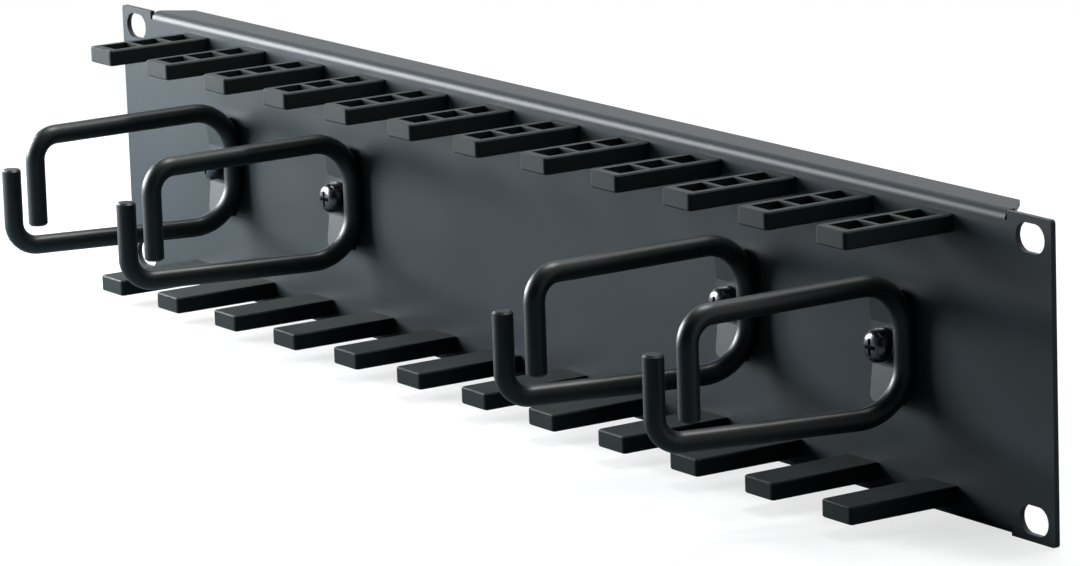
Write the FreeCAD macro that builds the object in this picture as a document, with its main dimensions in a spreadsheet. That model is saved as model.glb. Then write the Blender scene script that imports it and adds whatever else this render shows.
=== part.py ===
"""Horizontal cable manager: a two-unit rack panel with finger rows and four open D-rings.

Frame: millimetres, +X to the right seen from the front, +Y into the rack, +Z up.
The origin is the middle of the panel's rear face, which seats on the rack's rails.
"""

import FreeCAD, Part
import math
import os
import Sketcher

SIZES = {
    # Folded steel panel, EIA-310 width and two-unit height.
    "panel_width": 482.6,
    "panel_height": 88.1,
    "sheet_gauge": 1.6,
    "bend_radius": 1.0,
    "flange_length": 444.0,
    "flange_rear": 10.0,
    "flange_taper": 8.0,
    "bend_relief": 1.0,
    "ear_corner": 1.0,
    "rack_slot_pitch_across": 465.1,
    "rack_slot_pitch_up": 76.2,
    "rack_slot_length": 12.0,
    "rack_slot_width": 8.0,
    # Moulded fingers, a row above and a row below.
    "finger_count": 12,
    "finger_pitch": 35.15,
    "finger_row_height": 37.3,
    "finger_length": 36.0,
    "finger_root_width": 13.8,
    "finger_tip_width": 13.4,
    "finger_thickness": 5.0,
    "finger_wall": 2.2,
    "finger_floor": 1.8,
    "finger_web": 1.4,
    "finger_cells": 3,
    "finger_root_land": 2.6,
    "finger_tip_wall": 3.0,
    "finger_corner": 1.2,
    "finger_edge": 0.4,
    # Split snap tongue behind each finger.
    "prong_gap": 2.8,
    "prong_width": 2.0,
    "prong_height": 3.0,
    "prong_reach": 4.6,
    "barb_overhang": 0.9,
    "barb_land": 0.6,
    "prong_tip_inset": 0.7,
    "snap_play": 0.1,
    # Bent rod of a D-ring.
    "ring_inner": 103.5,
    "ring_outer": 175.5,
    "ring_level": 0.8,
    "rod_offset": 6.0,
    "rod_diameter": 6.0,
    "rod_end_chamfer": 0.6,
    "ring_height": 37.4,
    "ring_depth": 74.4,
    "ring_rear_bend": 14.0,
    "ring_front_bend": 7.5,
    "mouth_offset": 16.0,
    "upper_end_drop": 28.0,
    "lower_end_rise": 25.0,
    # Tab plate welded beside the rod, its ends leaning out with the rod's bends.
    "tab_gauge": 3.0,
    "tab_height": 32.0,
    "tab_flat": 12.0,
    "tab_lean": 1.2,
    "tab_reach": 14.4,
    "tab_weld_root": 2.2,
    "tab_corner": 1.8,
    # Pan-head screw with a captive washer, and the clinch nut it runs into.
    "screw_offset": 8.7,
    "screw_level": 0.0,
    "screw_diameter": 4.9,
    "screw_length": 9.0,
    "washer_diameter": 10.0,
    "washer_gauge": 1.1,
    "head_diameter": 9.2,
    "head_height": 4.2,
    "head_round": 2.0,
    "recess_span": 5.2,
    "recess_width": 1.1,
    "recess_depth": 1.9,
    "tab_hole": 5.4,
    "nut_diameter": 8.8,
    "nut_height": 2.6,
    "nut_bore": 5.0,
    "clinch_diameter": 6.4,
    "clinch_length": 1.4,
    "nut_edge": 0.4,
}

doc = FreeCAD.newDocument("CableManager")
sheet = doc.addObject("Spreadsheet::Sheet", "Sizes")
for row, (alias, size) in enumerate(SIZES.items(), start=1):
    sheet.set("A%d" % row, alias)
    sheet.set("B%d" % row, str(size))
    sheet.setAlias("B%d" % row, alias)
doc.recompute()

PANEL_FRONT = "-Sizes.sheet_gauge"
SKETCH_ORIGIN = -1
START, END, CENTRE = 1, 2, 3


def number(expression):
    """The value that an expression on the sheet has now."""
    return float(doc.getObject("Sizes").evalExpression(expression))


# Sketching

def new_body(label, across="0", forward="0", up="0", turned=False):
    """A body placed by three expressions, turned over about Y if asked."""
    body = doc.addObject("PartDesign::Body", label)
    body.Label = label
    half_turn = FreeCAD.Rotation(FreeCAD.Vector(0, 1, 0), 180 if turned else 0)
    body.Placement = FreeCAD.Placement(FreeCAD.Vector(0, 0, 0), half_turn)
    for axis, expression in (("x", across), ("y", forward), ("z", up)):
        body.setExpression("Placement.Base." + axis, expression)
    return body


def new_sketch(body, plane, name, offset=None):
    """A sketch on one of the body's own origin planes, raised by an expression if given."""
    sketch = body.newObject("Sketcher::SketchObject", name)
    support = [item for item in body.Origin.OriginFeatures if item.Role == plane]
    sketch.AttachmentSupport = [(support[0], "")]
    sketch.MapMode = "FlatFace"
    if offset:
        sketch.setExpression("AttachmentOffset.Base.z", offset)
    return sketch


def pin(sketch, geometry, point, across, up):
    """Hold one point of a sketch at the distances from its origin that two expressions give."""
    for kind, expression in (("DistanceX", across), ("DistanceY", up)):
        rule = Sketcher.Constraint(kind, SKETCH_ORIGIN, START, geometry, point, number(expression))
        index = sketch.addConstraint(rule)
        sketch.setExpression("Constraints[%d]" % index, expression)


def bind_radius(sketch, geometry, expression):
    index = sketch.addConstraint(Sketcher.Constraint("Radius", geometry, number(expression)))
    sketch.setExpression("Constraints[%d]" % index, expression)


def outline(sketch, corners):
    """A closed outline of straight lines through corners given as pairs of expressions."""
    first = sketch.GeometryCount
    points = [FreeCAD.Vector(number(across), number(up), 0) for across, up in corners]
    for index, point in enumerate(points):
        following = points[(index + 1) % len(points)]
        sketch.addGeometry(Part.LineSegment(point, following), False)
    for index, (across, up) in enumerate(corners):
        line = first + index
        following = first + (index + 1) % len(corners)
        sketch.addConstraint(Sketcher.Constraint("Coincident", line, END, following, START))
        pin(sketch, line, START, across, up)


def rectangle(sketch, middle_across, middle_up, width, height):
    """A rectangle about a middle point, with all four given as expressions."""
    left = "%s - (%s) / 2" % (middle_across, width)
    right = "%s + (%s) / 2" % (middle_across, width)
    low = "%s - (%s) / 2" % (middle_up, height)
    high = "%s + (%s) / 2" % (middle_up, height)
    outline(sketch, [(left, low), (right, low), (right, high), (left, high)])


def circle(sketch, across, up, diameter):
    centre = FreeCAD.Vector(number(across), number(up), 0)
    radius = "(%s) / 2" % diameter
    ring = sketch.addGeometry(Part.Circle(centre, FreeCAD.Vector(0, 0, 1), number(radius)), False)
    bind_radius(sketch, ring, radius)
    pin(sketch, ring, CENTRE, across, up)


def obround(sketch, across, up, length, width):
    """A horizontal slot with round ends: two arcs joined by two tangent lines."""
    radius = "(%s) / 2" % width
    reach = "((%s) - (%s)) / 2" % (length, width)
    ends = []
    for side, first_angle in ((1, -90), (-1, 90)):
        centre_across = "%s + %d * %s" % (across, side, reach)
        centre = FreeCAD.Vector(number(centre_across), number(up), 0)
        round_end = Part.Circle(centre, FreeCAD.Vector(0, 0, 1), number(radius))
        sweep = (math.radians(first_angle), math.radians(first_angle + 180))
        arc = sketch.addGeometry(Part.ArcOfCircle(round_end, *sweep), False)
        bind_radius(sketch, arc, radius)
        pin(sketch, arc, CENTRE, centre_across, up)
        ends.append(arc)
    right, left = ends
    for start_arc, end_arc in ((right, left), (left, right)):
        start = sketch.getPoint(start_arc, END)
        end = sketch.getPoint(end_arc, START)
        line = sketch.addGeometry(Part.LineSegment(start, end), False)
        sketch.addConstraint(Sketcher.Constraint("Tangent", start_arc, END, line, START))
        sketch.addConstraint(Sketcher.Constraint("Tangent", end_arc, START, line, END))


# Features

def add_feature(body, kind, name, profile, length=None, **settings):
    """A pad, pocket or revolution of a sketch."""
    feature = body.newObject("PartDesign::" + kind, name)
    feature.Profile = profile
    if length:
        feature.setExpression("Length", length)
    for setting, choice in settings.items():
        setattr(feature, setting, choice)
    body.Tip = feature
    return feature


def mirror(body, name, original, plane):
    """The mirror image of one feature in one of the body's origin planes."""
    feature = body.newObject("PartDesign::Mirrored", name)
    feature.Originals = [original]
    support = [item for item in body.Origin.OriginFeatures if item.Role == plane]
    feature.MirrorPlane = (support[0], [""])
    body.Tip = feature
    return feature


def repeat(body, name, original, axis, span, count):
    """Copies of one feature along an origin axis; span and count are expressions."""
    feature = body.newObject("PartDesign::LinearPattern", name)
    feature.Originals = [original]
    support = [item for item in body.Origin.OriginFeatures if item.Role == axis]
    feature.Direction = (support[0], [""])
    feature.setExpression("Length", span)
    feature.setExpression("Occurrences", count)
    body.Tip = feature
    return feature


def edges_where(feature, test):
    """Names of a feature's edges whose every corner passes the test."""
    doc.recompute()
    names = []
    for index, edge in enumerate(feature.Shape.Edges, start=1):
        if all(test(vertex.Point) for vertex in edge.Vertexes):
            names.append("Edge%d" % index)
    return names


def soften(body, kind, name, base, edges, size):
    """A fillet or a chamfer on named edges; size is an expression."""
    feature = body.newObject("PartDesign::" + kind, name)
    feature.Base = (base, edges)
    feature.setExpression("Radius" if kind == "Fillet" else "Size", size)
    body.Tip = feature
    return feature


def same(one, other):
    return abs(one - other) < 1e-4


# The panel: one sheet, flat between its ears, with its long edges folded back.

def make_panel():
    panel = new_body("panel")
    half_width = "Sizes.panel_width / 2"
    half_height = "Sizes.panel_height / 2"
    fold_level = "Sizes.panel_height / 2 - Sizes.sheet_gauge - Sizes.bend_radius"
    ear_start = "Sizes.flange_length / 2 + Sizes.bend_relief"

    flat = new_sketch(panel, "XZ_Plane", "FlatOutline")
    outline(flat, [
        ("-(%s)" % half_width, "-(%s)" % half_height),
        ("-(%s)" % ear_start, "-(%s)" % half_height),
        ("-(%s)" % ear_start, "-(%s)" % fold_level),
        (ear_start, "-(%s)" % fold_level),
        (ear_start, "-(%s)" % half_height),
        (half_width, "-(%s)" % half_height),
        (half_width, half_height),
        (ear_start, half_height),
        (ear_start, fold_level),
        ("-(%s)" % ear_start, fold_level),
        ("-(%s)" % ear_start, half_height),
        ("-(%s)" % half_width, half_height),
    ])
    sheet_pad = add_feature(panel, "Pad", "FlatSheet", flat, "Sizes.sheet_gauge")

    width, height = number("Sizes.panel_width"), number("Sizes.panel_height")
    corners = edges_where(sheet_pad, lambda point: same(abs(point.x), width / 2)
                          and same(abs(point.z), height / 2))
    across_sheet = [name for name in corners
                    if same(sheet_pad.Shape.getElement(name).Length, number("Sizes.sheet_gauge"))]
    soften(panel, "Fillet", "EarCorners", sheet_pad, across_sheet, "Sizes.ear_corner")

    upper_flange = add_feature(panel, "Pad", "Flange", flange_section(panel, fold_level),
                               "Sizes.flange_length", SideType="Symmetric")
    mirror(panel, "LowerFlange", upper_flange, "XY_Plane")

    taper = new_sketch(panel, "XY_Plane", "FlangeEnds")
    for side in ("", "-"):
        outline(taper, [
            (side + "(Sizes.flange_length / 2 + Sizes.sheet_gauge)",
             "Sizes.flange_rear - Sizes.flange_taper - Sizes.sheet_gauge"),
            (side + "(Sizes.flange_length / 2 + Sizes.sheet_gauge)",
             "Sizes.flange_rear + Sizes.sheet_gauge"),
            (side + "(Sizes.flange_length / 2 - Sizes.flange_taper - Sizes.sheet_gauge)",
             "Sizes.flange_rear + Sizes.sheet_gauge"),
        ])
    add_feature(panel, "Pocket", "TaperedEnds", taper, Type="ThroughAll", SideType="Symmetric")

    slots = new_sketch(panel, "XZ_Plane", "RackSlots")
    for across in (-1, 1):
        for up in (-1, 1):
            obround(slots, "%d * Sizes.rack_slot_pitch_across / 2" % across,
                    "%d * Sizes.rack_slot_pitch_up / 2" % up,
                    "Sizes.rack_slot_length", "Sizes.rack_slot_width")
    add_feature(panel, "Pocket", "RackSlotHoles", slots, Type="ThroughAll", SideType="Symmetric")

    snaps = new_sketch(panel, "XZ_Plane", "SnapSlots")
    for row_side in (-1, 1):
        rectangle(snaps, "-Sizes.finger_pitch * (Sizes.finger_count - 1) / 2",
                  "%d * Sizes.finger_row_height" % row_side,
                  "Sizes.prong_gap + 2 * Sizes.prong_width + 2 * Sizes.snap_play",
                  "Sizes.prong_height + 2 * Sizes.snap_play")
    first_snaps = add_feature(panel, "Pocket", "FirstSnapSlots", snaps, Type="ThroughAll",
                              SideType="Symmetric")
    repeat(panel, "SnapSlotRows", first_snaps, "X_Axis",
           "Sizes.finger_pitch * (Sizes.finger_count - 1)", "Sizes.finger_count")

    holes = new_sketch(panel, "XZ_Plane", "ClinchHoles")
    for place in RING_PLACES:
        circle(holes, "%s + Sizes.rod_offset - Sizes.screw_offset" % place, "Sizes.screw_level",
               "Sizes.clinch_diameter")
    add_feature(panel, "Pocket", "ClinchNutHoles", holes, Type="ThroughAll", SideType="Symmetric")
    return panel


def flange_section(panel, fold_level):
    """Section of the upper fold: two concentric quarter arcs, then the flange to its rear edge."""
    section = new_sketch(panel, "YZ_Plane", "FlangeSection")
    inner = number("Sizes.bend_radius")
    gauge = number("Sizes.sheet_gauge")
    fold = number(fold_level)
    rear = number("Sizes.flange_rear")
    axis = FreeCAD.Vector(inner, fold, 0)
    normal = FreeCAD.Vector(0, 0, 1)
    quarter = (math.pi / 2, math.pi)
    outer_arc = section.addGeometry(
        Part.ArcOfCircle(Part.Circle(axis, normal, inner + gauge), *quarter), False)
    inner_arc = section.addGeometry(
        Part.ArcOfCircle(Part.Circle(axis, normal, inner), *quarter), False)
    top = section.addGeometry(Part.LineSegment(
        FreeCAD.Vector(inner, fold + inner + gauge, 0),
        FreeCAD.Vector(rear, fold + inner + gauge, 0)), False)
    back = section.addGeometry(Part.LineSegment(
        FreeCAD.Vector(rear, fold + inner + gauge, 0),
        FreeCAD.Vector(rear, fold + inner, 0)), False)
    under = section.addGeometry(Part.LineSegment(
        FreeCAD.Vector(rear, fold + inner, 0), FreeCAD.Vector(inner, fold + inner, 0)), False)
    foot = section.addGeometry(Part.LineSegment(
        FreeCAD.Vector(0, fold, 0), FreeCAD.Vector(-gauge, fold, 0)), False)
    joins = [
        ("Tangent", outer_arc, START, top, START),
        ("Coincident", top, END, back, START),
        ("Coincident", back, END, under, START),
        ("Tangent", under, END, inner_arc, START),
        ("Coincident", inner_arc, END, foot, START),
        ("Coincident", foot, END, outer_arc, END),
        ("Vertical", back),
        ("Horizontal", top),
        ("Horizontal", under),
        ("Horizontal", outer_arc, CENTRE, outer_arc, END),
        ("Horizontal", inner_arc, CENTRE, inner_arc, END),
    ]
    for join in joins:
        section.addConstraint(Sketcher.Constraint(*join))
    for arc, radius in ((outer_arc, "Sizes.bend_radius + Sizes.sheet_gauge"),
                        (inner_arc, "Sizes.bend_radius")):
        bind_radius(section, arc, radius)
        pin(section, arc, CENTRE, "Sizes.bend_radius", fold_level)
    index = section.addConstraint(
        Sketcher.Constraint("DistanceX", SKETCH_ORIGIN, START, back, START, rear))
    section.setExpression("Constraints[%d]" % index, "Sizes.flange_rear")
    return section


# A finger: a tapered bar, hollowed from its outer face into cells, with a split barbed tongue.

def make_finger(label, across, row_side):
    upper = row_side > 0
    level = "%d * Sizes.finger_row_height" % row_side
    finger = new_body(label, across, PANEL_FRONT, level, turned=not upper)

    plan = new_sketch(finger, "XY_Plane", "FingerPlan")
    outline(plan, [
        ("-Sizes.finger_root_width / 2", "0"),
        ("-Sizes.finger_tip_width / 2", "-Sizes.finger_length"),
        ("Sizes.finger_tip_width / 2", "-Sizes.finger_length"),
        ("Sizes.finger_root_width / 2", "0"),
    ])
    bar = add_feature(finger, "Pad", "Bar", plan, "Sizes.finger_thickness", SideType="Symmetric")

    length, thickness = number("Sizes.finger_length"), number("Sizes.finger_thickness")
    tip_edges = [name for name in edges_where(bar, lambda point: same(point.y, -length))
                 if same(bar.Shape.getElement(name).Length, thickness)]
    rounded = soften(finger, "Fillet", "TipCorners", bar, tip_edges, "Sizes.finger_corner")

    rims = []
    for face in (-thickness / 2, thickness / 2):
        for name in edges_where(rounded, lambda point: same(point.z, face)):
            edge = rounded.Shape.getElement(name)
            if not all(same(vertex.Y, 0) for vertex in edge.Vertexes):
                rims.append(name)
    soften(finger, "Chamfer", "Rims", rounded, rims, "Sizes.finger_edge")

    room = ("(Sizes.finger_length - Sizes.finger_root_land - Sizes.finger_tip_wall"
            " + Sizes.finger_web) / Sizes.finger_cells")
    cell = new_sketch(finger, "XY_Plane", "Cell", offset="Sizes.finger_thickness / 2")
    rectangle(cell, "0", "-Sizes.finger_root_land - (%s - Sizes.finger_web) / 2" % room,
              "Sizes.finger_tip_width - 2 * Sizes.finger_wall", "%s - Sizes.finger_web" % room)
    hollow = add_feature(finger, "Pocket", "FirstCell", cell,
                         "Sizes.finger_thickness - Sizes.finger_floor")
    cells = repeat(finger, "Cells", hollow, "Y_Axis", "%s * (Sizes.finger_cells - 1)" % room,
                   "Sizes.finger_cells")
    cells.Reversed = True

    inside = "Sizes.prong_gap / 2"
    outside = "(Sizes.prong_gap / 2 + Sizes.prong_width)"
    prong = new_sketch(finger, "XY_Plane", "Prong")
    outline(prong, [
        (inside, "0"),
        (outside, "0"),
        (outside, "Sizes.sheet_gauge"),
        (outside + " + Sizes.barb_overhang", "Sizes.sheet_gauge"),
        (outside + " + Sizes.barb_overhang", "Sizes.sheet_gauge + Sizes.barb_land"),
        (outside + " - Sizes.prong_tip_inset", "Sizes.sheet_gauge + Sizes.prong_reach"),
        (inside, "Sizes.sheet_gauge + Sizes.prong_reach"),
    ])
    one_prong = add_feature(finger, "Pad", "OneProng", prong, "Sizes.prong_height",
                            SideType="Symmetric")
    mirror(finger, "OtherProng", one_prong, "YZ_Plane")
    return finger


# A D-ring: a rod bent through four corners, its front ends side by side around the mouth.

def rounded_path(corners, radii):
    """A wire of straight runs joined by a tangent arc at each inner corner."""
    edges = []
    start = corners[0]
    for corner, following, radius in zip(corners[1:], corners[2:], radii):
        back = (start - corner).normalize()
        onward = (following - corner).normalize()
        half_angle = back.getAngle(onward) / 2
        run_out = radius / math.tan(half_angle)
        arc_start = corner + back * run_out
        arc_end = corner + onward * run_out
        bisector = (back + onward).normalize()
        arc_middle = corner + bisector * (radius / math.sin(half_angle) - radius)
        edges.append(Part.LineSegment(start, arc_start).toShape())
        edges.append(Part.Arc(arc_start, arc_middle, arc_end).toShape())
        start = arc_end
    edges.append(Part.LineSegment(start, corners[-1]).toShape())
    return Part.Wire(edges)


def make_rod(label, place):
    radius = number("Sizes.rod_diameter / 2")
    rear = -radius
    front = -number("Sizes.ring_depth")
    high = number("Sizes.ring_height / 2")
    mouth = -number("Sizes.mouth_offset")
    corners = [
        FreeCAD.Vector(0, front, high - number("Sizes.upper_end_drop")),
        FreeCAD.Vector(0, front, high),
        FreeCAD.Vector(0, rear, high),
        FreeCAD.Vector(0, rear, -high),
        FreeCAD.Vector(mouth, front, -high),
        FreeCAD.Vector(mouth, front, number("Sizes.lower_end_rise") - high),
    ]
    front_bend = number("Sizes.ring_front_bend")
    rear_bend = number("Sizes.ring_rear_bend")
    seat = FreeCAD.Vector(number(place + " + Sizes.rod_offset"), number(PANEL_FRONT),
                          number("Sizes.ring_level"))

    centre_line = doc.addObject("Part::Feature", label + "_centre_line")
    centre_line.Shape = rounded_path(corners, [front_bend, rear_bend, rear_bend, front_bend])
    centre_line.Placement = FreeCAD.Placement(seat, FreeCAD.Rotation())

    section = doc.addObject("Part::Circle", label + "_section")
    section.setExpression("Radius", "Sizes.rod_diameter / 2")
    section.Placement = FreeCAD.Placement(seat + corners[0], FreeCAD.Rotation())

    bent = doc.addObject("Part::Sweep", label + "_bent")
    bent.Sections = [section]
    bent.Spine = (centre_line, ["Edge%d" % index
                                for index in range(1, len(centre_line.Shape.Edges) + 1)])
    bent.Solid = True
    doc.recompute()

    ends = (corners[0].z + seat.z, corners[-1].z + seat.z)
    rims = [index for index, edge in enumerate(bent.Shape.Edges, start=1)
            if any(all(same(vertex.Z, end) for vertex in edge.Vertexes) for end in ends)]
    rod = doc.addObject("Part::Chamfer", label)
    rod.Label = label
    rod.Base = bent
    end_chamfer = number("Sizes.rod_end_chamfer")
    rod.Edges = [(index, end_chamfer, end_chamfer) for index in rims]
    return rod


# The tab plate: flat under the screw, its ends leaning out beside the rod's bends, and its edge
# hollowed to fit the rod.

def make_tab(label, place, rod):
    blank = new_body(label + "_blank", place + " + Sizes.rod_offset", PANEL_FRONT,
                     "Sizes.screw_level")
    half_flat, half_height = "Sizes.tab_flat / 2", "Sizes.tab_height / 2"
    section = new_sketch(blank, "YZ_Plane", "TabSection", offset="-Sizes.tab_reach")
    outline(section, [
        ("-Sizes.tab_lean", "-" + half_height),
        ("0", "-" + half_flat),
        ("0", half_flat),
        ("-Sizes.tab_lean", half_height),
        ("-Sizes.tab_lean - Sizes.tab_gauge", half_height),
        ("-Sizes.tab_gauge", half_flat),
        ("-Sizes.tab_gauge", "-" + half_flat),
        ("-Sizes.tab_lean - Sizes.tab_gauge", "-" + half_height),
    ])
    plate = add_feature(blank, "Pad", "TabPlate", section, "Sizes.tab_reach - Sizes.tab_weld_root")

    reach, end = number("-Sizes.tab_reach"), number(half_height)
    free_corners = edges_where(plate, lambda point: same(point.x, reach)
                               and same(abs(point.z), end))
    soften(blank, "Fillet", "TabCorners", plate, free_corners, "Sizes.tab_corner")

    hole = new_sketch(blank, "XZ_Plane", "TabHole")
    circle(hole, "-Sizes.screw_offset", "0", "Sizes.tab_hole")
    add_feature(blank, "Pocket", "ScrewHole", hole, Type="ThroughAll", SideType="Symmetric")

    tab = doc.addObject("Part::Cut", label)
    tab.Label = label
    tab.Base = blank
    tab.Tool = rod
    return tab


# Fasteners, turned about their own axis, which lies along Y.

def make_screw(label, place):
    screw = new_body(label, place + " + Sizes.rod_offset - Sizes.screw_offset",
                     PANEL_FRONT + " - Sizes.tab_gauge", "Sizes.screw_level")
    crown = "Sizes.washer_gauge + Sizes.head_height"
    half = new_sketch(screw, "XY_Plane", "ScrewHalf")
    outline(half, [
        ("0", "-(%s)" % crown),
        ("Sizes.head_diameter / 2", "-(%s)" % crown),
        ("Sizes.head_diameter / 2", "-Sizes.washer_gauge"),
        ("Sizes.washer_diameter / 2", "-Sizes.washer_gauge"),
        ("Sizes.washer_diameter / 2", "0"),
        ("Sizes.screw_diameter / 2", "0"),
        ("Sizes.screw_diameter / 2", "Sizes.screw_length - Sizes.nut_edge"),
        ("Sizes.screw_diameter / 2 - Sizes.nut_edge", "Sizes.screw_length"),
        ("0", "Sizes.screw_length"),
    ])
    turned = add_feature(screw, "Revolution", "Turned", half, ReferenceAxis=(half, ["V_Axis"]),
                         Angle=360)
    front = -number(crown)
    rim = edges_where(turned, lambda point: same(point.y, front))
    dome = soften(screw, "Fillet", "HeadRound", turned, rim, "Sizes.head_round")

    cross = new_sketch(screw, "XZ_Plane", "CrossRecess", offset=crown)
    long_side = "Sizes.recess_span / 2"
    short_side = "Sizes.recess_width / 2"
    quarter = [(long_side, short_side), (short_side, short_side), (short_side, long_side)]
    corners = []
    for turn in range(4):
        for across, up in quarter:
            corners.append(quarter_turn(across, up, turn))
    outline(cross, corners)
    add_feature(screw, "Pocket", "Recess", cross, "Sizes.recess_depth")
    doc.recompute()
    if screw.Tip.Shape.Volume >= dome.Shape.Volume:
        raise ValueError("the screw's recess cuts nothing")
    return screw


def quarter_turn(across, up, turns):
    """A pair of expressions turned about the origin by a number of right angles."""
    for _ in range(turns):
        across, up = "-(%s)" % up, across
    return across, up


def make_nut(label, place):
    nut = new_body(label, place + " + Sizes.rod_offset - Sizes.screw_offset", "0",
                   "Sizes.screw_level")
    half = new_sketch(nut, "XY_Plane", "NutHalf")
    outline(half, [
        ("Sizes.nut_bore / 2", "-Sizes.clinch_length"),
        ("Sizes.clinch_diameter / 2", "-Sizes.clinch_length"),
        ("Sizes.clinch_diameter / 2", "0"),
        ("Sizes.nut_diameter / 2", "0"),
        ("Sizes.nut_diameter / 2", "Sizes.nut_height - Sizes.nut_edge"),
        ("Sizes.nut_diameter / 2 - Sizes.nut_edge", "Sizes.nut_height"),
        ("Sizes.nut_bore / 2 + Sizes.nut_edge", "Sizes.nut_height"),
        ("Sizes.nut_bore / 2", "Sizes.nut_height - Sizes.nut_edge"),
    ])
    add_feature(nut, "Revolution", "Turned", half, ReferenceAxis=(half, ["V_Axis"]), Angle=360)
    return nut


RING_PLACES = ["-Sizes.ring_outer", "-Sizes.ring_inner", "Sizes.ring_inner", "Sizes.ring_outer"]

parts = [make_panel()]
for row_name, row_side in (("top", 1), ("bottom", -1)):
    for index in range(int(number("Sizes.finger_count"))):
        place = "Sizes.finger_pitch * (%d - (Sizes.finger_count - 1) / 2)" % index
        parts.append(make_finger("finger_%s_%02d" % (row_name, index + 1), place, row_side))
for index, place in enumerate(RING_PLACES, start=1):
    rod = make_rod("ring_rod_%d" % index, place)
    parts.append(rod)
    parts.append(make_tab("ring_tab_%d" % index, place, rod))
    parts.append(make_screw("ring_screw_%d" % index, place))
    parts.append(make_nut("ring_nut_%d" % index, place))
doc.recompute()

failed = [item.Name for item in doc.Objects
          if "Invalid" in item.State or "Error" in item.State]
if failed:
    raise ValueError("objects that failed to build: " + ", ".join(failed))
for part in parts:
    if part.Shape.isNull() or not part.Shape.isValid() or len(part.Shape.Solids) != 1:
        raise ValueError(part.Label + " is not one valid solid")

os.makedirs("parts", exist_ok=True)
for part in parts:
    part.Shape.exportStep("parts/%s.step" % part.Label)
    print("%-18s %9.1f mm3" % (part.Label, part.Shape.Volume))
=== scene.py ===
"""Horizontal cable manager: the finishes, welds and fasteners of its solids, and its studio."""

import math

import bpy
from mathutils import Matrix, Vector


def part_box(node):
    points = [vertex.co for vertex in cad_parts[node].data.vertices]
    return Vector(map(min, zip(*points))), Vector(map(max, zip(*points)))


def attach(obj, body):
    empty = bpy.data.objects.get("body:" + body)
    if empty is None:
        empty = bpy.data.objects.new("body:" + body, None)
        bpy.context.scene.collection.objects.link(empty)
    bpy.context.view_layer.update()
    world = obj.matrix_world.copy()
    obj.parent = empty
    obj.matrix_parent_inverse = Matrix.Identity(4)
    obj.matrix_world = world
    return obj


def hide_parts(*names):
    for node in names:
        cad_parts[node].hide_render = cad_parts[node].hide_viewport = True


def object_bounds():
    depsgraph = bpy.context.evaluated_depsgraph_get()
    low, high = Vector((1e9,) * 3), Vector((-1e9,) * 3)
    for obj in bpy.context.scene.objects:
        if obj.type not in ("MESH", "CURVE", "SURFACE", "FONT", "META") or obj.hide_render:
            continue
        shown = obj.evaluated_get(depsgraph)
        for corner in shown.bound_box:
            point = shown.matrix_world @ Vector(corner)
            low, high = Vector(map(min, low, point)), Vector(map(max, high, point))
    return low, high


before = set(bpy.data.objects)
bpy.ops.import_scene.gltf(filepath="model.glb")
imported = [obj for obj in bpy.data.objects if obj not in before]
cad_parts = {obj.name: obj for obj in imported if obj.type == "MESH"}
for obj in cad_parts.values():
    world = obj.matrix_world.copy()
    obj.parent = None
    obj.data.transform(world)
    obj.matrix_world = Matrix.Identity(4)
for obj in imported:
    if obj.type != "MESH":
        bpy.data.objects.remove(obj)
solid_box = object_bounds()


# Panel
#
# One sheet of 1.6 mm steel, punched, folded along both long edges and powder coated in satin
# black after folding.

class Wire:
    """A shader socket that sums can be written on: each operator adds a Math node."""

    def __init__(self, graph, socket):
        self.graph = graph
        self.socket = socket

    def math(self, operation, first, second):
        return self.graph.node("Math", {"operation": operation}, {0: first, 1: second})

    def __add__(self, other):
        return self.math("ADD", self, other)

    def __radd__(self, other):
        return self.math("ADD", other, self)

    def __mul__(self, other):
        return self.math("MULTIPLY", self, other)

    def __rmul__(self, other):
        return self.math("MULTIPLY", other, self)


class Graph:
    """The shader nodes of a material or of the world."""

    def __init__(self, owner):
        owner.use_nodes = True
        self.tree = owner.node_tree
        self.tree.nodes.clear()

    def node(self, kind, settings=None, sockets=None, output=0):
        """Adds a node, sets it up, then gives its sockets their values or links."""
        made = self.tree.nodes.new("ShaderNode" + kind)
        for name, choice in (settings or {}).items():
            setattr(made, name, choice)
        for name, value in (sockets or {}).items():
            if isinstance(value, Wire):
                self.tree.links.new(value.socket, made.inputs[name])
            else:
                made.inputs[name].default_value = value
        return Wire(self, made.outputs[output]) if made.outputs else None


def colour_between(graph, share, first, second):
    """The first colour where the share is 0, and the second where it is 1."""
    share_socket, first_socket, second_socket, colour_output = 0, 6, 7, 2
    return graph.node("Mix", {"data_type": "RGBA"}, {
        share_socket: share, first_socket: first, second_socket: second}, output=colour_output)


def opaque(shade, strength=1.0):
    """A shade made lighter or darker, with the full alpha that a colour socket asks for."""
    return (*[level * strength for level in shade], 1)


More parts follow.
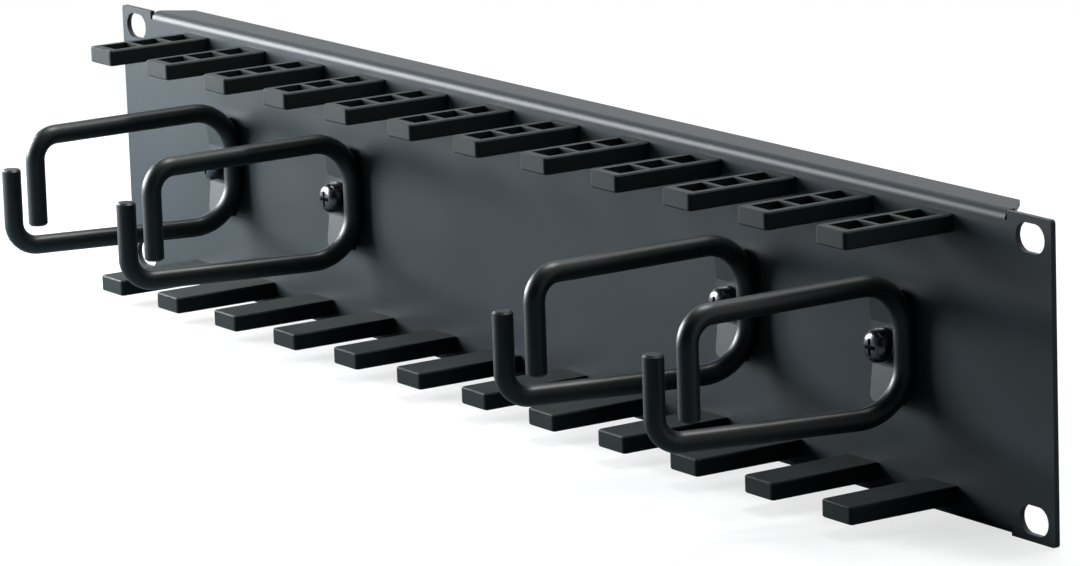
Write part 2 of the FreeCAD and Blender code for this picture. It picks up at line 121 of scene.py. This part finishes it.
def powder_coat(name, shade, sheen):
    """Baked powder: an even dark coat with a faint orange peel and a gloss that drifts a little."""
    drift_scale, peel_scale, grain_scale = 22.0, 620.0, 2600.0
    shade_drift = 0.12
    grain_share, skin_depth, skin_strength = 0.35, 0.00004, 0.35
    smoothest, roughest = 0.36, 0.44
    material = bpy.data.materials.new(name)
    graph = Graph(material)
    place = graph.node("TexCoord", output="Object")
    drift = graph.node("TexNoise", None, {"Vector": place, "Scale": drift_scale, "Detail": 3.0})
    peel = graph.node("TexNoise", None, {"Vector": place, "Scale": peel_scale, "Detail": 2.0})
    grain = graph.node("TexNoise", None, {"Vector": place, "Scale": grain_scale, "Detail": 1.0})
    skin = graph.node("Bump", None, {
        "Strength": skin_strength, "Distance": skin_depth, "Height": peel + grain_share * grain})
    coat = graph.node("BsdfPrincipled", None, {
        "Base Color": colour_between(
            graph, drift, opaque(shade, 1 - shade_drift), opaque(shade, 1 + shade_drift)),
        "Roughness": smoothest + (roughest - smoothest) * drift,
        "Specular IOR Level": sheen,
        "Normal": skin,
    })
    graph.node("OutputMaterial", None, {"Surface": coat})
    return material


def dress(node, material):
    """Gives a solid that keeps its own shape its finish."""
    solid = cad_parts[node]
    solid.data.materials.clear()
    solid.data.materials.append(material)


dress("panel", powder_coat("panel_powder_coat", shade=(0.028, 0.034, 0.0375), sheen=0.10))


# Fingers
#
# Injection moulded in black nylon, twelve above and twelve below. Each is cored into cells from
# its outer face, and its split tongue snaps through the sheet. The skin has its mould's fine grain.

def moulded_nylon():
    """Black nylon: its shade and gloss drift with the melt's flow, over the mould's spark grain."""
    deep_shade, pale_shade = (0.0090, 0.0130, 0.0130), (0.0120, 0.0175, 0.0175)
    flow_scale, spark_scale = 60.0, 3200.0
    spark_depth, spark_strength = 0.00003, 0.25
    smoothest, roughest = 0.40, 0.50
    material = bpy.data.materials.new("moulded_nylon")
    graph = Graph(material)
    place = graph.node("TexCoord", output="Object")
    flow = graph.node("TexNoise", None, {"Vector": place, "Scale": flow_scale, "Detail": 2.0})
    spark = graph.node("TexNoise", None, {"Vector": place, "Scale": spark_scale, "Detail": 1.0})
    skin = graph.node("Bump", None, {
        "Strength": spark_strength, "Distance": spark_depth, "Height": spark})
    nylon = graph.node("BsdfPrincipled", None, {
        "Base Color": colour_between(graph, flow, opaque(deep_shade), opaque(pale_shade)),
        "Roughness": smoothest + (roughest - smoothest) * flow,
        "Specular IOR Level": 0.11,
        "Normal": skin,
    })
    graph.node("OutputMaterial", None, {"Surface": nylon})
    return material


black_nylon = moulded_nylon()
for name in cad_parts:
    if name.startswith("finger_"):
        dress(name, black_nylon)


# D-ring rods
#
# Round steel bar bent cold through four corners, its cut ends left side by side as the mouth.
# The powder flows smoother on the bar than on the sheet, so its coat is darker and glossier.

ring_numbers = range(1, 5)
rod_coat = powder_coat("rod_powder_coat", shade=(0.0050, 0.0085, 0.0090), sheen=0.34)
for number in ring_numbers:
    dress("ring_rod_%d" % number, rod_coat)


# Tab plates and their welds
#
# A clipped steel plate beside each rod's rear leg takes the screw, its ends leaning out beside the
# bends. Two short fillet welds run up the corner between plate and bar, under the rod's own coat.

def new_piece(name, vertices, faces, material, slot_name):
    """A smooth mesh object made from points and faces, riding on the one body."""
    mesh = bpy.data.meshes.new(name)
    mesh.from_pydata(vertices, [], faces)
    mesh.polygons.foreach_set("use_smooth", [True] * len(mesh.polygons))
    mesh.materials.append(material)
    piece = bpy.data.objects.new(name, mesh)
    bpy.context.scene.collection.objects.link(piece)
    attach(piece, "root")
    return piece


def lofted(rings):
    """Vertices and faces of a skin through rings of as many points each, capped at both ends."""
    around = len(rings[0])
    vertices = [point for ring in rings for point in ring]
    faces = []
    for row in range(len(rings) - 1):
        low, high = row * around, (row + 1) * around
        for index in range(around):
            following = (index + 1) % around
            faces.append((low + index, low + following, high + following, high + index))
    faces.append(tuple(reversed(range(around))))
    faces.append(tuple(range(len(vertices) - around, len(vertices))))
    return vertices, faces


def turns_around(count):
    """The angles of that many points set evenly round a ring."""
    return [2 * math.pi * index / count for index in range(count)]


def plate_and_bar_corner(number, height):
    """Where the plate's face meets the bar's flank, as the plate leans and the bar bends."""
    plate_gauge, flat_half, lean_slope = 0.003, 0.006, 0.12
    bar_radius, bend_radius = 0.003, 0.014
    if height > 0:
        bend_start, aside, ahead = 0.0055, 0.0, 1.0
    else:
        bend_start, aside, ahead = 0.0039, 0.219, 0.976  # the lower arm leads off to the left
    flat_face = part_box("panel")[0].y - plate_gauge
    face = flat_face - lean_slope * max(0.0, abs(height) - flat_half)
    turned = math.asin(max(0.0, abs(height) - bend_start) / bend_radius)
    advance = bend_radius * (1 - math.cos(turned))
    face_to_axis = (face - flat_face + ahead * advance) * math.cos(turned)
    axis_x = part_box("ring_rod_%d" % number)[1].x - bar_radius - aside * advance
    return axis_x - math.sqrt(bar_radius ** 2 - face_to_axis ** 2), face


def weld_bead(name, number, low, high):
    """A rippled bead that stands up the corner from one height to another."""
    throat, flatness, blunt_end = 0.0013, 0.85, 0.12
    ripple_pitch, ripple_rise = 0.0011, 0.10
    sway, sway_by_height, sway_by_ring = 0.00012, 900, 50
    steps, around = 56, 14
    rings = []
    for step in range(steps + 1):
        share = step / steps
        height = low + (high - low) * share
        corner_x, corner_y = plate_and_bar_corner(number, height)
        swell = min(1.0, math.sin(math.pi * share) ** 0.5 + blunt_end)
        ripple = 1 + ripple_rise * abs(math.sin(math.pi * (height - low) / ripple_pitch))
        middle_x = corner_x + sway * math.sin(height * sway_by_height + corner_x * sway_by_ring)
        reach = throat * swell * ripple
        rings.append([(middle_x + reach * math.cos(turn),
                       corner_y + flatness * reach * math.sin(turn), height)
                      for turn in turns_around(around)])
    new_piece(name, *lofted(rings), rod_coat, "rod_coat")


for number in ring_numbers:
    dress("ring_tab_%d" % number, rod_coat)
    weld_bead("ring_weld_low_%d" % number, number, low=-0.0120, high=-0.0035)
    weld_bead("ring_weld_high_%d" % number, number, low=0.0050, high=0.0135)


# Screws
#
# M5 pan-head machine screws with a cross recess and a captive washer, cold headed and thread
# rolled, plated in dark nickel. Each draws its tab plate down on the sheet through a clinch nut.

def plated_steel(name, shade, smoothest):
    """Bright plate over steel: clouded in shade and gloss, with a hair-fine scratch."""
    cloud_scale, scratch_scale = 420.0, 1900.0
    shade_cloud, gloss_cloud = 0.15, 0.10
    scratch_depth, scratch_strength = 0.00002, 0.3
    material = bpy.data.materials.new(name)
    graph = Graph(material)
    place = graph.node("TexCoord", output="Object")
    cloud = graph.node("TexNoise", None, {"Vector": place, "Scale": cloud_scale, "Detail": 3.0})
    scratch = graph.node("TexNoise", None, {
        "Vector": place, "Scale": scratch_scale, "Detail": 2.0})
    skin = graph.node("Bump", None, {
        "Strength": scratch_strength, "Distance": scratch_depth, "Height": scratch})
    steel = graph.node("BsdfPrincipled", None, {
        "Base Color": colour_between(
            graph, cloud, opaque(shade, 1 - shade_cloud), opaque(shade, 1 + shade_cloud)),
        "Metallic": 1.0,
        "Roughness": smoothest + gloss_cloud * cloud,
        "Normal": skin,
    })
    graph.node("OutputMaterial", None, {"Surface": steel})
    return material


def head_profile(washer_radius):
    """Radius and height of the washer from its seat, then of the head up to its crown."""
    washer_gauge, eased = 0.0011, 0.00015
    head_radius, under_head_radius, head_height = 0.0046, 0.00414, 0.0042
    wall = 0.42 * head_height
    crown_steps, crown_fullness = 12, 0.62
    profile = [(washer_radius - eased, 0.0), (washer_radius, eased),
               (washer_radius, washer_gauge - eased), (washer_radius - eased, washer_gauge),
               (under_head_radius, washer_gauge), (head_radius, washer_gauge + eased)]
    for step in range(crown_steps + 1):
        turn = math.pi / 2 * step / crown_steps
        profile.append((head_radius * max(0.0, math.cos(turn)) ** crown_fullness,
                        washer_gauge + wall + (head_height - wall) * math.sin(turn)))
    return profile


def cut_recess(piece, crown):
    """Sinks a cross recess into the crown: two bars at right angles that narrow as they go in."""
    half_span, half_width = 0.0026, 0.00058
    mouth, floor = (-0.0006, 1.12), (0.0021, 0.5)  # depth into the crown, and span at that depth
    for turned in (False, True):
        corners = []
        for depth, taper in (mouth, floor):
            for across, up in ((-1, -1), (1, -1), (1, 1), (-1, 1)):
                first = across * half_span * taper
                second = up * half_width * (1 + taper) / 2
                if turned:
                    first, second = -second, first
                corners.append((crown.x + first, crown.y + depth, crown.z + second))
        mesh = bpy.data.meshes.new("recess_bar")
        mesh.from_pydata(corners, [], [(0, 1, 2, 3), (7, 6, 5, 4), (0, 4, 5, 1), (1, 5, 6, 2),
                                       (2, 6, 7, 3), (3, 7, 4, 0)])
        bar = bpy.data.objects.new("recess_bar", mesh)
        bpy.context.scene.collection.objects.link(bar)
        cut = piece.modifiers.new("recess", "BOOLEAN")
        cut.object = bar
        cut.solver = "EXACT"
        bpy.context.view_layer.update()
        shaped = piece.evaluated_get(bpy.context.evaluated_depsgraph_get())
        carved = bpy.data.meshes.new_from_object(shaped)
        piece.modifiers.clear()
        piece.data = carved
        bpy.data.objects.remove(bar)


def screw_piece(number, material):
    """Washer, head and rolled thread as one skin of rings, with the recess cut into its crown."""
    crest, thread_depth, pitch, groove_steepness = 0.00244, 0.00040, 0.0008, 1.25
    point_length, point_taper = 0.0006, 0.0005
    around, shank_rows = 48, 92
    sharp_from = math.radians(32)
    low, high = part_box("ring_screw_%d" % number)
    profile = head_profile((high.x - low.x) / 2)
    standing = profile[-1][1]
    seat = Vector(((low.x + high.x) / 2, low.y + standing, (low.z + high.z) / 2))
    shank_length = high.y - seat.y

    def ring(depth, radius_at):
        return [(seat.x + radius_at(turn) * math.cos(turn), seat.y + depth,
                 seat.z + radius_at(turn) * math.sin(turn)) for turn in turns_around(around)]

    rings = [ring(-height, lambda turn: radius) for radius, height in reversed(profile[:-1])]
    for row in range(shank_rows + 1):
        depth = shank_length * row / shank_rows
        point = max(0.0, (depth - shank_length + point_length) / point_length)

        def thread(turn):
            phase = (depth / pitch - turn / (2 * math.pi)) % 1.0
            groove = 1 - abs(2 * phase - 1)
            flank = 1 - min(1.0, groove_steepness * groove)
            return crest - thread_depth * flank - point_taper * point

        rings.append(ring(depth, thread))
    piece = new_piece("screw_%d" % number, *lofted(rings), material, "screw_steel")
    cut_recess(piece, crown=Vector((seat.x, low.y, seat.z)))
    piece.data.set_sharp_from_angle(angle=sharp_from)
    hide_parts("ring_screw_%d" % number)


dark_nickel = plated_steel("dark_nickel", shade=(0.10, 0.103, 0.11), smoothest=0.2)
for number in ring_numbers:
    screw_piece(number, dark_nickel)


# Clinch nuts
#
# Zinc-plated steel nuts pressed into the sheet from behind, one for each screw. The sheet's own
# metal flows in round each nut's collar and holds it.

zinc_plate = plated_steel("zinc_plate", shade=(0.62, 0.64, 0.67), smoothest=0.26)
for number in ring_numbers:
    dress("ring_nut_%d" % number, zinc_plate)


# Studio
#
# A pale floor that fades into a white surround, a soft cool lamp on the left, a small one beside
# the panel's end, and a strip lamp overhead, behind the panel, that leaves its front alone.

def seen_white(graph, behind):
    """1 for what the camera sees and, behind the panel, what metal mirrors or glass lets by."""
    camera_ray = graph.node("LightPath", output="Is Camera Ray")
    mirrored = graph.node("LightPath", output="Is Glossy Ray")
    let_by = graph.node("LightPath", output="Is Transmission Ray")
    return camera_ray + (mirrored + let_by) * behind


def ramp_between(graph, value, low, high, start=0.0):
    """Rises smoothly from the start to 1 as the value goes from low to high."""
    return graph.node("MapRange", {"interpolation_type": "SMOOTHSTEP"}, {
        "Value": value, "From Min": low, "From Max": high, "To Min": start, "To Max": 1.0})


def stage_floor(level, tint):
    """Paper seen white but for a faint shadow, that throws a dim cool light back on the part."""
    half_side = 6.0
    shadow_inner, shadow_outer, white_over_shadow = 0.25, 0.75, 0.7
    back_starts, back_full = 0.0, 0.4
    seen_paper = (0.9, 0.9, 0.9)
    mesh = bpy.data.meshes.new("floor")
    mesh.from_pydata([(-half_side, -half_side, level), (half_side, -half_side, level),
                      (half_side, half_side, level), (-half_side, half_side, level)],
                     [], [(0, 1, 2, 3)])
    floor = bpy.data.objects.new("floor", mesh)
    bpy.context.scene.collection.objects.link(floor)
    material = bpy.data.materials.new("pale_floor")
    graph = Graph(material)
    place = graph.node("TexCoord", output="Object")
    distance = graph.node("VectorMath", {"operation": "LENGTH"}, {0: place}, output="Value")
    depth = graph.node("SeparateXYZ", None, {0: place}, output="Y")
    fade = ramp_between(graph, distance, shadow_inner, shadow_outer, start=white_over_shadow)
    behind = ramp_between(graph, depth, back_starts, back_full)
    camera_ray = graph.node("LightPath", output="Is Camera Ray")
    paper = graph.node("BsdfDiffuse", None, {
        "Color": colour_between(graph, camera_ray, opaque(tint), opaque(seen_paper))})
    white = graph.node("Emission", None, {"Color": (1, 1, 1, 1), "Strength": 1.0})
    surface = graph.node("MixShader", None, {0: fade * seen_white(graph, behind),
                                             1: paper, 2: white})
    graph.node("OutputMaterial", None, {"Surface": surface})
    mesh.materials.append(material)


def surround(front, back):
    """White where the camera looks past the floor; else dim in front and pale behind the panel."""
    back_starts, back_full = -0.2, 0.6
    world = bpy.data.worlds.new("surround")
    bpy.context.scene.world = world
    graph = Graph(world)
    direction = graph.node("TexCoord", output="Generated")
    depth = graph.node("SeparateXYZ", None, {0: direction}, output="Y")
    behind = ramp_between(graph, depth, back_starts, back_full)
    room = colour_between(graph, behind, opaque(front), opaque(back))
    light = graph.node("Background", None, {
        "Color": colour_between(graph, seen_white(graph, behind), room, (1, 1, 1, 1)),
        "Strength": 1.0,
    })
    graph.node("OutputWorld", None, {"Surface": light})


def soft_lamp(name, place, aim, width, height, power, colour):
    """A rectangular lamp that stands at a place and faces another."""
    lamp = bpy.data.lights.new(name, "AREA")
    lamp.shape = "RECTANGLE"
    lamp.size = width
    lamp.size_y = height
    lamp.energy = power
    lamp.color = colour
    holder = bpy.data.objects.new(name, lamp)
    holder.location = place
    holder.rotation_mode = "QUATERNION"
    holder.rotation_quaternion = (Vector(aim) - Vector(place)).to_track_quat("-Z", "Y")
    bpy.context.scene.collection.objects.link(holder)


stage_floor(level=solid_box[0].z, tint=(0.16, 0.20, 0.22))
surround(front=(0.02, 0.028, 0.032), back=(0.7, 0.7, 0.7))
soft_lamp("left_lamp", place=(-0.54, -0.42, 0.22), aim=(0, 0, 0),
          width=0.4, height=0.4, power=10.5, colour=(0.93, 0.97, 1.0))
soft_lamp("end_lamp", place=(-0.60, -0.20, 0.12), aim=(-0.24, 0, 0),
          width=0.25, height=0.2, power=5.0, colour=(0.97, 0.98, 1.0))
soft_lamp("top_lamp", place=(-0.08, 0.26, 1.15), aim=(0, 0, 0),
          width=0.8, height=0.12, power=15.0, colour=(1, 1, 1))


# Camera
#
# A long lens, well back to the right of the panel and a little above it, so that the panel tapers
# only a little towards its far end.

def look_from(azimuth, elevation, roll, distance, target, lens):
    """Stands the camera at those angles round a target; azimuth 0 looks square on to the panel."""
    camera = bpy.data.cameras.new("camera")
    camera.lens = lens
    camera.sensor_width = 36.0
    camera.clip_start = 0.05
    camera.clip_end = 50.0
    holder = bpy.data.objects.new("camera", camera)
    around, above = math.radians(azimuth), math.radians(elevation)
    back = Vector((math.sin(around) * math.cos(above), -math.cos(around) * math.cos(above),
                   math.sin(above)))
    right = Vector((math.cos(around), math.sin(around), 0))
    upright = Matrix((right, back.cross(right), back)).transposed()
    turn = Matrix.Rotation(math.radians(roll), 3, "Z")
    holder.matrix_world = Matrix.Translation(target + back * distance) @ (upright @ turn).to_4x4()
    bpy.context.scene.collection.objects.link(holder)
    bpy.context.scene.camera = holder


look_from(azimuth=56.39, elevation=12.06, roll=-1.89, distance=1.7065,
          target=Vector((0.0007, -0.0016, -0.0108)), lens=192.3)
bpy.context.scene.view_settings.view_transform = "Standard"
